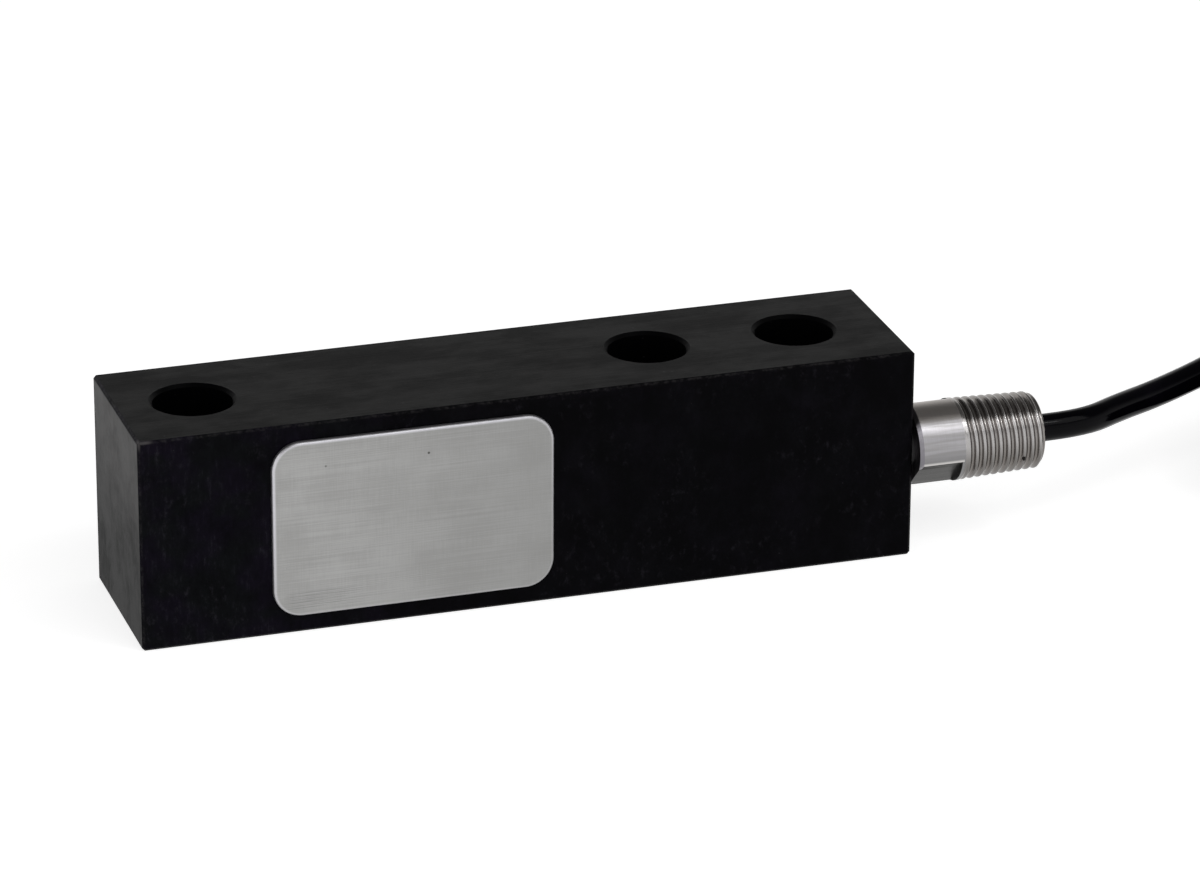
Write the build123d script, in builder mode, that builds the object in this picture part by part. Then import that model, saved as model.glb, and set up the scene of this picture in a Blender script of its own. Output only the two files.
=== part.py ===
from build123d import *
import math
import os

# Shear beam load cell. Millimetres, +Z up.
# The origin is the centre of the beam's base face. X runs along the beam from the loaded end
# to the cable end, -Y is the face that carries the cover plate, and the base lies on z = 0.

os.makedirs("parts", exist_ok=True)

# Beam
beam_length = 130.0
beam_width = 30.0
beam_height = 36.0
edge_break = 0.45
bore_diameter = 13.0
bore_countersink = 0.55
load_hole_from_end = 12.7
load_to_mounting_hole = 76.2
mounting_hole_spacing = 25.4

# Gauge pockets, one in each side, with the thin shear web between them
pocket_from_end = 44.8
pocket_length = 36.0
pocket_height = 22.0
pocket_corner = 5.0
web_thickness = 7.0
web_hole_diameter = 2.6
web_hole_from_wall = 14.8
web_hole_height = 10.4

# Wire passage and tapped cable entry, beside the mounting holes
entry_offset = 10.85
entry_height = 18.0
passage_diameter = 4.0
entry_diameter = 6.0
entry_depth = 9.5
entry_countersink = 0.2

# Cover plate and the adhesive under it
cover_length = 46.8
cover_height = 30.0
cover_corner = 4.8
cover_thickness = 0.85
cover_edge_round = 0.55
cover_centre_height = 18.2
adhesive_thickness = 0.15
adhesive_margin = 0.6

# Strain gauges, one on each face of the web
gauge_from_end = 39.0
carrier_length = 12.4
carrier_height = 9.0
carrier_thickness = 0.1
foil_thickness = 0.06
grid_lines = 6
grid_line_length = 3.4
grid_line_width = 0.24
grid_pitch = 0.48
grid_angle = 45.0
grid_spacing = 5.6
tab_size = 1.0
tab_spacing = 2.4
tab_from_edge = 0.9

# Bridge board beside the front gauge
board_length = 7.0
board_height = 15.0
board_thickness = 0.8
board_from_wall = 5.0
pad_size = 1.2
pad_thickness = 0.06
core_pad_pitch = 2.8
gauge_pad_pitch = 2.0
gauge_pads = 6
pad_from_edge = 1.0
resistor_length = 2.0
resistor_width = 1.2
resistor_thickness = 0.5
resistor_pitch = 2.6
resistors = 4

# Gauge leads
lead_width = 0.3
lead_rise = 0.7
lead_in_hole_pitch = 0.8

# Conduit adapter: spigot, collar with two wrench flats, tapered pipe thread
collar_gap = 0.5
collar_length = 8.4
collar_diameter = 13.7
collar_chamfer = 0.55
flat_width = 11.1
flat_ring = 0.7
flat_angle = 48.0
thread_length = 13.7
thread_taper = 1.0 / 16.0
thread_end_chamfer = 0.7
spigot_length = 9.0
spigot_chamfer = 0.5
spigot_clearance = 0.05
mouth_bore = 7.2
mouth_depth = 6.6
core_bore = 3.5
core_bore_end = 4.0
gasket_diameter = 7.3
gasket_clearance = 0.1
bush_length = 6.2
bush_clearance = 0.05

# Cable: jacket, cores and drain wire
cable_diameter = 4.7
jacket_clearance = 0.1
core_diameter = 1.0
core_circle = 1.56
drain_diameter = 0.5
core_clear_of_wall = 0.6

# Hank of the cable that is put away: turns laid two wide and five high
hank_fold_x = 148.1
hank_centre_y = -8.0
hank_run = 86.0
fold_width = 28.2
turn_pitch = 4.75
hank_columns = 2
hank_layers = 5
tie_thickness = 0.8
tie_width = 3.6
tie_head = 5.0
tie_head_height = 3.4
hank_chamfer = 1.4
notch_clearance = 0.3
notch_depth = 26.0
notch_reach = 9.0

# Flying leads at the cable's far end
tail_core_length = 30.0
tail_straight = 5.5
tip_length = 6.0
tip_diameter = 0.7
tail_floor_gap = 0.05

# Values that follow from the sizes above
load_end = -beam_length / 2
cable_end = beam_length / 2
front_face = -beam_width / 2
rear_face = beam_width / 2
web_half = web_thickness / 2
pocket_depth = (beam_width - web_thickness) / 2
load_hole_x = load_end + load_hole_from_end
near_hole_x = load_hole_x + load_to_mounting_hole
far_hole_x = near_hole_x + mounting_hole_spacing
pocket_x = load_end + pocket_from_end
pocket_z = beam_height / 2
pocket_wall_x = pocket_x + pocket_length / 2
gauge_x = load_end + gauge_from_end
entry_y = -entry_offset
hank_height = hank_layers * turn_pitch
notch_half = cable_diameter / 2 + notch_clearance
hank_width = fold_width + (2 * hank_columns - 1) * turn_pitch


def save(part, name):
    """Labels a finished piece and writes its file."""
    part.label = name
    export_step(part, f"parts/{name}.step")


def swept(points, bends, diameter):
    """A round bar along straight runs joined by tangent arcs."""
    with BuildPart() as bar:
        with BuildLine() as route:
            if len(points) > 2:
                FilletPolyline(*points, radius=bends)
            else:
                Line(*points)
        with BuildSketch(Plane(origin=route.line @ 0, z_dir=route.line % 0)):
            Circle(diameter / 2)
        sweep()
    return bar.part


def bent(points, width, round_section=True):
    """A bar folded sharply at each point, round or square in section."""
    with BuildPart() as bar:
        with BuildLine() as route:
            Polyline(*points)
        with BuildSketch(Plane(origin=route.line @ 0, z_dir=route.line % 0)):
            if round_section:
                Circle(width / 2)
            else:
                Rectangle(width, width)
        sweep(transition=Transition.RIGHT)
    return bar.part


def cord_bends(points):
    """Each arc as large as its runs allow: 0.45 of the shorter run over the tangent of half the turn."""
    vectors = [Vector(*b) - Vector(*a) for a, b in zip(points, points[1:])]
    return [
        0.45 * min(a.length, b.length) / math.tan(math.radians(a.get_angle(b)) / 2)
        for a, b in zip(vectors, vectors[1:])
    ]


# Beam: one bar of alloy steel, milled, drilled, blackened and broken on every edge.
with BuildPart() as beam:
    with BuildSketch(Plane.XY):
        Rectangle(beam_length, beam_width)
    extrude(amount=beam_height)
    chamfer(beam.edges(), edge_break)
    with BuildSketch(Plane.XY):
        with Locations((load_hole_x, 0), (near_hole_x, 0), (far_hole_x, 0)):
            Circle(bore_diameter / 2)
    extrude(amount=beam_height, mode=Mode.SUBTRACT)
    rims = beam.edges().filter_by(GeomType.CIRCLE)
    chamfer(rims.group_by(Axis.Z)[0] + rims.group_by(Axis.Z)[-1], bore_countersink)
    with BuildSketch(Plane.XZ.offset(-front_face)):
        with Locations((pocket_x, pocket_z)):
            RectangleRounded(pocket_length, pocket_height, pocket_corner)
    extrude(amount=-pocket_depth, mode=Mode.SUBTRACT)
    with BuildSketch(Plane.XZ.offset(-rear_face)):
        with Locations((pocket_x, pocket_z)):
            RectangleRounded(pocket_length, pocket_height, pocket_corner)
    extrude(amount=pocket_depth, mode=Mode.SUBTRACT)
    web_hole_x = pocket_wall_x - web_hole_from_wall
    with BuildSketch(Plane.XZ.offset(web_half)):
        with Locations((web_hole_x, web_hole_height)):
            Circle(web_hole_diameter / 2)
    extrude(amount=-web_thickness, mode=Mode.SUBTRACT)
    with BuildSketch(Plane.YZ.offset(pocket_wall_x)):
        with Locations((entry_y, entry_height)):
            Circle(passage_diameter / 2)
    extrude(amount=cable_end - pocket_wall_x, mode=Mode.SUBTRACT)
    with BuildSketch(Plane.YZ.offset(cable_end)):
        with Locations((entry_y, entry_height)):
            Circle(entry_diameter / 2)
    extrude(amount=-entry_depth, mode=Mode.SUBTRACT)
    entry_rim = beam.faces().sort_by(Axis.X)[-1].edges().filter_by(GeomType.CIRCLE)
    chamfer(entry_rim, entry_countersink)
save(beam.part, "beam_body")

# Adhesive film that holds the cover plate over the front pocket.
with BuildPart() as adhesive:
    with BuildSketch(Plane.XZ.offset(-front_face)):
        with Locations((pocket_x, cover_centre_height)):
            RectangleRounded(
                cover_length - 2 * adhesive_margin,
                cover_height - 2 * adhesive_margin,
                cover_corner - adhesive_margin,
            )
        with Locations((pocket_x, pocket_z)):
            RectangleRounded(pocket_length, pocket_height, pocket_corner, mode=Mode.SUBTRACT)
    extrude(amount=adhesive_thickness)
save(adhesive.part, "cover_adhesive")

# Cover plate: brushed metal with rounded corners and a rounded front edge.
with BuildPart() as cover:
    with BuildSketch(Plane.XZ.offset(-front_face + adhesive_thickness)):
        with Locations((pocket_x, cover_centre_height)):
            RectangleRounded(cover_length, cover_height, cover_corner)
    extrude(amount=cover_thickness)
    fillet(cover.faces().sort_by(Axis.Y)[0].edges(), cover_edge_round)
save(cover.part, "cover_plate")


def carrier(plane):
    """The plastic backing of one strain gauge, bonded to the web."""
    with BuildPart() as backing:
        with BuildSketch(plane):
            with Locations((gauge_x, pocket_z)):
                Rectangle(carrier_length, carrier_height)
        extrude(amount=carrier_thickness)
    return backing.part


def tab_places():
    """The three solder tabs, in a column at the end of the gauge that faces the board."""
    tab_x = gauge_x + carrier_length / 2 - tab_from_edge
    return [(tab_x, pocket_z + k * tab_spacing) for k in (-1, 0, 1)]


def grids(plane):
    """Two folded foil grids at plus and minus 45 degrees, and three solder tabs."""
    middle = gauge_x - (tab_size + tab_from_edge) / 2
    with BuildPart() as foil:
        for side in (-1, 1):
            with BuildSketch(plane):
                with Locations(Location((middle + side * grid_spacing / 2, pocket_z), side * grid_angle)):
                    for line in range(grid_lines):
                        level = (line - (grid_lines - 1) / 2) * grid_pitch
                        with Locations((0, level)):
                            Rectangle(grid_line_length, grid_line_width)
                    for turn in range(grid_lines - 1):
                        level = (turn + 1 - grid_lines / 2) * grid_pitch
                        end = (grid_line_length - grid_line_width) / 2 * (1 if turn % 2 else -1)
                        with Locations((end, level)):
                            Rectangle(grid_line_width, grid_pitch + grid_line_width)
            extrude(amount=foil_thickness)
        with BuildSketch(plane):
            with Locations(*tab_places()):
                Rectangle(tab_size, tab_size)
        extrude(amount=foil_thickness)
    return foil.part


front_web = Plane.XZ.offset(web_half)
front_carrier = carrier(front_web)
rear_carrier = front_carrier.mirror(Plane.XZ)
front_grids = grids(front_web.offset(carrier_thickness))
rear_grids = front_grids.mirror(Plane.XZ)
save(front_carrier, "front_gauge_carrier")
save(rear_carrier, "rear_gauge_carrier")
save(front_grids, "front_gauge_grids")
save(rear_grids, "rear_gauge_grids")

# Bridge board: a small circuit board bonded to the web between the gauge and the wire passage.
board_x = pocket_wall_x - board_from_wall - board_length / 2
board_face = web_half + board_thickness
core_pad_x = board_x + board_length / 2 - pad_from_edge
gauge_pad_x = board_x - board_length / 2 + pad_from_edge
core_pads = [(core_pad_x, entry_height + (k - 2) * core_pad_pitch) for k in range(5)]
lead_pads = [
    (gauge_pad_x, entry_height + (k - (gauge_pads - 1) / 2) * gauge_pad_pitch) for k in range(gauge_pads)
]
with BuildPart() as board:
    with BuildSketch(Plane.XZ.offset(web_half)):
        with Locations((board_x, entry_height)):
            Rectangle(board_length, board_height)
    extrude(amount=board_thickness)
save(board.part, "bridge_board")

with BuildPart() as pads:
    with BuildSketch(Plane.XZ.offset(board_face)):
        with Locations(*core_pads, *lead_pads):
            Rectangle(pad_size, pad_size)
    extrude(amount=pad_thickness)
save(pads.part, "board_pads")

# Trim resistors, in a column between the two rows of pads.
with BuildPart() as trims:
    with BuildSketch(Plane.XZ.offset(board_face)):
        with Locations((board_x, entry_height)):
            with GridLocations(1, resistor_pitch, 1, resistors):
                Rectangle(resistor_length, resistor_width)
    extrude(amount=resistor_thickness)
save(trims.part, "trim_resistors")

# Gauge leads: three square ribbons from each gauge, the rear ones through the hole in the web.
tab_face = web_half + carrier_thickness + foil_thickness
pad_face = board_face + pad_thickness


def front_lead(index):
    """From a tab of the front gauge up, across and down to its pad."""
    tab_x, tab_z = tab_places()[index]
    pad_x, pad_z = lead_pads[2 * index + 1]
    high = -pad_face - lead_rise
    return [(tab_x, -tab_face, tab_z), (tab_x, high, tab_z), (pad_x, high, pad_z), (pad_x, -pad_face, pad_z)]


def rear_lead(index):
    """From a tab of the rear gauge to the hole in the web, through it and on to its pad."""
    tab_x, tab_z = tab_places()[index]
    pad_x, pad_z = lead_pads[2 * index]
    hole_x = web_hole_x + (index - 1) * lead_in_hole_pitch
    level = tab_face + lead_rise * (index + 1)
    high = -pad_face - lead_rise * (index + 2)
    return [
        (tab_x, tab_face, tab_z),
        (tab_x, level, tab_z),
        (hole_x, level, web_hole_height),
        (hole_x, high, web_hole_height),
        (pad_x, high, pad_z),
        (pad_x, -pad_face, pad_z),
    ]


front_leads = [bent(front_lead(k), lead_width, round_section=False) for k in range(3)]
rear_leads = [bent(rear_lead(k), lead_width, round_section=False) for k in range(3)]
save(Compound(children=front_leads), "front_gauge_leads")
save(Compound(children=rear_leads), "rear_gauge_leads")

# Potting that fills the rear pocket flush with the beam's side.
with BuildPart() as potting:
    with BuildSketch(Plane.XZ.offset(-rear_face)):
        with Locations((pocket_x, pocket_z)):
            RectangleRounded(pocket_length, pocket_height, pocket_corner)
    extrude(amount=pocket_depth)
    for piece in [rear_carrier, rear_grids, *rear_leads]:
        add(piece, mode=Mode.SUBTRACT)
save(potting.part, "rear_potting")

# Conduit adapter: one turned stainless piece on the axis of the cable entry.
entry_axis = Axis((0, entry_y, entry_height), (1, 0, 0))
entry_plane = Plane(origin=(cable_end, entry_y, entry_height), x_dir=(1, 0, 0), z_dir=(0, -1, 0))
collar_start = collar_gap
collar_end = collar_start + collar_length
mouth = collar_end + thread_length
thread_end_radius = collar_diameter / 2 - thread_length * thread_taper / 2
spigot_start = -spigot_length
spigot_radius = entry_diameter / 2 - spigot_clearance
flat_length = collar_length - flat_ring
with BuildPart() as adapter:
    with BuildSketch(entry_plane):
        with BuildLine():
            Polyline(
                (spigot_start, core_bore / 2),
                (spigot_start, spigot_radius - spigot_chamfer),
                (spigot_start + spigot_chamfer, spigot_radius),
                (collar_start, spigot_radius),
                (collar_start, collar_diameter / 2 - collar_chamfer),
                (collar_start + collar_chamfer, collar_diameter / 2),
                (collar_end, collar_diameter / 2),
                (mouth - thread_end_chamfer, thread_end_radius),
                (mouth, thread_end_radius - thread_end_chamfer),
                (mouth, mouth_bore / 2),
                (mouth - mouth_depth, mouth_bore / 2),
                (mouth - mouth_depth, cable_diameter / 2 + jacket_clearance),
                (core_bore_end, cable_diameter / 2 + jacket_clearance),
                (core_bore_end, core_bore / 2),
                close=True,
            )
        make_face()
    revolve(axis=entry_axis)
    flats = Plane(
        origin=(cable_end + collar_start, entry_y, entry_height), x_dir=(0, -1, 0), z_dir=(1, 0, 0)
    ).rotated((0, 0, flat_angle))
    with BuildSketch(flats):
        Rectangle(2 * collar_diameter, 2 * collar_diameter)
        Rectangle(flat_width, 2 * collar_diameter, mode=Mode.SUBTRACT)
    extrude(amount=flat_length, mode=Mode.SUBTRACT)
save(adapter.part, "conduit_adapter")

# Flat gasket between the adapter's collar and the end face.
with BuildPart() as gasket:
    with BuildSketch(Plane.YZ.offset(cable_end)):
        with Locations((entry_y, entry_height)):
            Circle(gasket_diameter / 2)
            Circle(entry_diameter / 2 + gasket_clearance, mode=Mode.SUBTRACT)
    extrude(amount=collar_gap)
save(gasket.part, "entry_gasket")

# Rubber bush that seals the cable in the adapter's mouth.
bush_start = mouth - mouth_depth
with BuildPart() as bush:
    with BuildSketch(Plane.YZ.offset(cable_end + bush_start)):
        with Locations((entry_y, entry_height)):
            Circle(mouth_bore / 2 - bush_clearance)
            Circle(cable_diameter / 2 + bush_clearance, mode=Mode.SUBTRACT)
    extrude(amount=bush_length)
save(bush.part, "cable_bush")

# Cores and drain wire: from the end of the jacket through the spigot and the passage to the board.
jacket_start = cable_end + core_bore_end
core_places = {"red": (-1, -1, 0), "black": (1, -1, 1), "green": (1, 1, 3), "white": (-1, 1, 4)}
drain_place = (0, 0, 2)
core_offset = core_circle / 2 / math.sqrt(2)


def inner_route(side, rise, pad):
    """Straight along the passage, across to the row of the pad, and down to it."""
    pad_x, pad_z = core_pads[pad]
    y = entry_y + side * core_offset
    z = entry_height + rise * core_offset
    return [
        (jacket_start, y, z),
        (pocket_wall_x - core_clear_of_wall, y, z),
        (pad_x, y, pad_z),
        (pad_x, -pad_face, pad_z),
    ]


for name, (side, rise, pad) in core_places.items():
    save(bent(inner_route(side, rise, pad), core_diameter), f"core_{name}")
drain_route = inner_route(*drain_place)
del drain_route[1]
save(bent(drain_route, drain_diameter), "core_drain")

# Cable jacket: straight out of the adapter, a bend to the rear, then a gentle rise onto the hank.
lead_points = [
    (69.0, -10.85, 18.0),
    (98.5, -10.85, 18.0),
    (119.5, 0.0, 18.4),
    (140.7, 9.35, 22.2),
]
lead_bends = cord_bends(lead_points)
lead = swept(lead_points, lead_bends, cable_diameter)
save(lead, "cable_jacket")

# The far end peels off the hank's inner turn and lies in the open middle, on the floor.
tail_points = [
    (150.5, 6.1, 3.2),
    (176.0, -1.9, 2.36),
    (201.0, -5.2, 2.36),
]
tail_bends = cord_bends(tail_points)
tail = swept(tail_points, tail_bends, cable_diameter)
save(tail, "cable_tail")



def end_plane(points, away):
    """A plane across the cable at the end of a route, its x axis level and its normal along the cable."""
    last, previous = (points[-1], points[-2]) if away else (points[0], points[1])
    along = (Vector(*last) - Vector(*previous)).normalized()
    return Plane(origin=last, x_dir=Vector(0, 0, 1).cross(along), z_dir=along)


# Hank: the outer shape of the turns, with a notch where each end of the cable joins it.
hank_middle = (hank_fold_x + hank_run / 2, hank_centre_y)
hank_opening = fold_width - turn_pitch
with BuildPart() as hank:
    with BuildSketch(Plane.XY.offset(tie_thickness)):
        with Locations(hank_middle):
            SlotOverall(hank_run + hank_width, hank_width)
            SlotOverall(hank_run + hank_opening, hank_opening, mode=Mode.SUBTRACT)
    extrude(amount=hank_height)
    chamfer(hank.faces().filter_by(Axis.Z).edges(), hank_chamfer)
    with BuildSketch(end_plane(lead_points, True)):
        with Locations((0, (notch_reach - notch_half) / 2)):
            Rectangle(2 * notch_half, notch_reach + notch_half)
    extrude(amount=-notch_depth, mode=Mode.SUBTRACT)
    with BuildSketch(end_plane(tail_points, False)):
        with Locations(((notch_reach - notch_half) / 2, (notch_half - notch_reach) / 2)):
            Rectangle(notch_reach + notch_half, notch_reach + notch_half)
    extrude(amount=-notch_depth, mode=Mode.SUBTRACT)
save(hank.part, "cable_hank")

# Two releasable ties, one round each run of the hank.
bundle_width = hank_columns * turn_pitch
bundle_y = (fold_width + (hank_columns - 1) * turn_pitch) / 2
tie_z = tie_thickness + hank_height / 2
with BuildPart() as ties:
    for side in (-1, 1):
        run_y = hank_centre_y + side * bundle_y
        strap_plane = Plane.YZ.offset(hank_middle[0] - tie_width / 2)
        with BuildSketch(strap_plane) as outside:
            with Locations((run_y, tie_z)):
                Rectangle(bundle_width + 2 * tie_thickness, hank_height + 2 * tie_thickness)
            chamfer(outside.vertices(), hank_chamfer + tie_thickness * (2 - math.sqrt(2)))
        extrude(amount=tie_width)
        with BuildSketch(strap_plane) as inside:
            with Locations((run_y, tie_z)):
                Rectangle(bundle_width, hank_height)
            chamfer(inside.vertices(), hank_chamfer)
        extrude(amount=tie_width, mode=Mode.SUBTRACT)
        with BuildSketch(Plane.YZ.offset(hank_middle[0] - tie_head / 2)):
            with Locations((run_y, tie_thickness + hank_height)):
                Rectangle(tie_head, tie_thickness + tie_head_height, align=(Align.CENTER, Align.MIN))
        extrude(amount=tie_head)
save(ties.part, "hank_ties")

# Flying leads: the cores and the drain wire spread out on the floor beyond the jacket's end.
tail_plane = end_plane(tail_points, True)


def tail_route(side, rise, spread, end_radius):
    """Straight out of the jacket's end, then apart and down until the bare end touches the floor."""
    root = tail_plane.from_local_coords(Vector(side * core_offset, rise * core_offset, 0))
    straight = root + tail_plane.z_dir * tail_straight
    far = root + tail_plane.z_dir * (tail_core_length + tip_length) + tail_plane.x_dir * spread
    return [tuple(root), tuple(straight), (far.X, far.Y, end_radius + tail_floor_gap)]


tail_spread = {"red": -6.0, "black": 1.2, "green": 6.0, "white": -1.2}
insulated_share = (tail_core_length - tail_straight) / (tail_core_length + tip_length - tail_straight)
tips = []
for name, (side, rise, _) in core_places.items():
    root, straight, far = tail_route(side, rise, tail_spread[name], tip_diameter / 2)
    stripped = tuple(a + (b - a) * insulated_share for a, b in zip(straight, far))
    route = [root, straight, stripped]
    save(swept(route, cord_bends(route), core_diameter), f"tail_core_{name}")
    tips.append(swept([stripped, far], [], tip_diameter))
save(Compound(children=tips), "tail_tips")
route = tail_route(0, 0, 0.3, drain_diameter / 2)
save(swept(route, cord_bends(route), drain_diameter), "tail_drain")

for label, part, points, bends in (
    ("jacket", lead, lead_points, lead_bends),
    ("tail", tail, tail_points, tail_bends),
):
    with BuildLine() as centre:
        FilletPolyline(*points, radius=bends)
    section = math.pi * cable_diameter**2 / 4
    length = sum(edge.length for edge in centre.line.edges())
    print(label, "radii", [round(bend, 1) for bend in bends], "length", round(length, 1))
    print(label, "volume over section times length", round(part.volume / (section * length), 4))
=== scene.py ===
import math

import bmesh
import bpy
import numpy as np
from mathutils import Matrix, Vector


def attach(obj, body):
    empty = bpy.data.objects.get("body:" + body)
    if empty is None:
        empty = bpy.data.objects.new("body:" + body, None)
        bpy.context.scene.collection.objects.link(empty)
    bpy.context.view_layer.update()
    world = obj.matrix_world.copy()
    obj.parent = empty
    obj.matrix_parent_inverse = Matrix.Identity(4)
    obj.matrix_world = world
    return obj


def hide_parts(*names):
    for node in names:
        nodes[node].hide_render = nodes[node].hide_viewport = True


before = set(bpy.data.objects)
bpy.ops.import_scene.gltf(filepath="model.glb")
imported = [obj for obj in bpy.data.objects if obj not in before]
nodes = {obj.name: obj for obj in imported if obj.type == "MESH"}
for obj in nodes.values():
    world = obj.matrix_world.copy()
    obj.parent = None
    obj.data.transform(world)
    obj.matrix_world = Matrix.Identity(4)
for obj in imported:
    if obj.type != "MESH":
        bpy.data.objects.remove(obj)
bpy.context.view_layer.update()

scene = bpy.context.scene


# Camera: a long lens that looks down at the beam from over its front left corner, as a product
# photograph is taken. It leans by a third of a degree.
def place_camera(target, azimuth, elevation, roll, distance, lens):
    """The eye is the target plus the distance along the back vector, which is turned by the azimuth
    from -Y towards +X and raised by the elevation. The roll turns right and up about that vector."""
    a, e, r = (math.radians(angle) for angle in (azimuth, elevation, roll))
    back = Vector((math.sin(a) * math.cos(e), -math.cos(a) * math.cos(e), math.sin(e)))
    level = Vector((0, 0, 1)).cross(back).normalized()
    upright = back.cross(level)
    right = level * math.cos(r) + upright * math.sin(r)
    up = upright * math.cos(r) - level * math.sin(r)
    eye = Vector(target) + back * distance
    data = bpy.data.cameras.new("camera")
    data.lens = lens
    data.sensor_width = 36.0
    data.clip_start, data.clip_end = 0.05, 20.0
    camera = bpy.data.objects.new("camera", data)
    scene.collection.objects.link(camera)
    camera.matrix_world = Matrix((
        (right.x, up.x, back.x, eye.x),
        (right.y, up.y, back.y, eye.y),
        (right.z, up.z, back.z, eye.z),
        (0, 0, 0, 1),
    ))
    scene.camera = camera


place_camera(
    target=(0.01759, 0.00495, 0.018), azimuth=-17.949, elevation=22.719, roll=0.296,
    distance=1.00751, lens=183.86,
)


# Cable: four cores and a drain wire in a round jacket of black polyurethane, extruded and glossy. It
# leaves the adapter straight, bends to the rear and rises onto a hank, where the length that is put
# away is wound, and its far end comes off the hank's last turn into the open middle.
def finish(name, constants):
    """A new material with one Principled shader, and these constants on the shader's own sockets.
    Gives back the material, its node tree and the shader's inputs."""
    material = bpy.data.materials.new(name)
    material.use_nodes = True
    shader = material.node_tree.nodes["Principled BSDF"]
    for socket, value in constants.items():
        shader.inputs[socket].default_value = value
    return material, material.node_tree, shader.inputs


def add(tree, kind, inputs, **settings):
    """One shader node. A socket among the inputs is linked to it, and a plain value is set on it."""
    made = tree.nodes.new("ShaderNode" + kind)
    for name, value in settings.items():
        setattr(made, name, value)
    for name, value in inputs.items():
        if isinstance(value, bpy.types.NodeSocket):
            tree.links.new(value, made.inputs[name])
        else:
            made.inputs[name].default_value = value
    return made


def calc(tree, operation, *values):
    """One Math node: the operation on one, two or three sockets or numbers."""
    return add(tree, "Math", dict(enumerate(values)), operation=operation).outputs[0]


def millimetres(tree):
    """The place on the piece in millimetres, from its Object coordinates, which are in metres."""
    inner = add(tree, "TexCoord", {}).outputs["Object"]
    return add(tree, "VectorMath", {0: inner, 1: (1000, 1000, 1000)}, operation="MULTIPLY").outputs[0]


def grain(tree, place, size, detail=2.0, rough=0.5):
    """Noise from 0 to 1 with patches about as large as the size gives for each axis."""
    scaled = add(tree, "VectorMath", {0: place, 1: size}, operation="DIVIDE").outputs[0]
    inputs = {"Vector": scaled, "Scale": 1.0, "Detail": detail, "Roughness": rough}
    return add(tree, "TexNoise", inputs).outputs[0]


def span(tree, value, low, high, start=0.0, end=1.0):
    """Runs smoothly from start to end while the value goes from low to high, and stays there."""
    inputs = {"Value": value, "From Min": low, "From Max": high, "To Min": start, "To Max": end}
    return add(tree, "MapRange", inputs, interpolation_type="SMOOTHSTEP").outputs[0]


def mix(tree, share, first, second):
    """The first colour with a share of the second one over it."""
    return add(tree, "Mix", {0: share, 6: first, 7: second}, data_type="RGBA").outputs[2]


def relief(tree, shader, height, depth):
    """Raises the surface by a height from 0 to 1 times the depth in millimetres."""
    inputs = {"Height": height, "Distance": depth * 0.001, "Strength": 1.0}
    tree.links.new(add(tree, "Bump", inputs).outputs[0], shader["Normal"])


def paint(tree, shader, colour, roughness):
    """Gives the shader its colour and its roughness."""
    tree.links.new(colour, shader["Base Color"])
    tree.links.new(roughness, shader["Roughness"])


jacket_finish, tree, shader = finish("glossy_black_jacket", {"Specular IOR Level": 0.070, "IOR": 1.5})
place = millimetres(tree)
dust = grain(tree, place, (9, 9, 9), detail=5.0, rough=0.65)
fine = grain(tree, place, (0.6, 0.6, 0.6), detail=3.0)
swell = grain(tree, place, (7, 4, 4), detail=1.0)
jacket_colour = mix(
    tree, span(tree, dust, 0.42, 0.75), (0.0005, 0.0004, 0.0011, 1), (0.0020, 0.0016, 0.0034, 1)
)
gloss = calc(tree, "ADD", span(tree, dust, 0.3, 0.8, 0.07, 0.17), span(tree, fine, 0.3, 0.8, 0.0, 0.03))
paint(tree, shader, jacket_colour, gloss)
relief(tree, shader, calc(tree, "MULTIPLY_ADD", fine, 0.05, swell), 0.10)

cable_diameter = 4.7
lead_route = [
    (69.0, -10.85, 18.0),
    (83.5, -10.85, 18.0),
    (97.0, -10.75, 18.0),
    (104.8, -6.3, 18.0),
    (113.4, -2.4, 18.0),
    (126.0, 3.1, 19.2),
    (140.7, 9.35, 22.2),
]
tail_route = [
    (150.5, 6.1, 3.2),
    (176.0, -1.9, 2.36),
    (201.0, -5.2, 2.36),
]
turn_pitch = 4.75
hank_fold = (148.1, -8.0)
hank_run = 86.0
inner_radius = 14.1
lowest_turn = 3.175
top_layer = 4
steps_per_run = 6
steps_per_turn = 4 * steps_per_run
steps_held = 22
whole_turns = 9
half_step = math.radians(90 / steps_per_run)


def bundle_place(step):
    """Where a step of the winding lies across the bundle, as columns out from the inner one and
    layers up from the lowest. The ten places follow each other in a zigzag from the top outer one
    to the lowest inner one. Each is held for 22 steps of a turn's 24, with the middle of the move
    to the next at the last of them, so that every turn has left its place before the next needs it."""
    number, within = divmod(step, steps_held)

    def spot(count):
        layer, second = divmod(count, 2)
        outward = second if layer % 2 else 1 - second
        return np.array((outward, top_layer - layer), float)

    here = spot(number)
    if within == steps_held - 1:
        here = (here + spot(number + 1)) / 2
    return here


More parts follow.
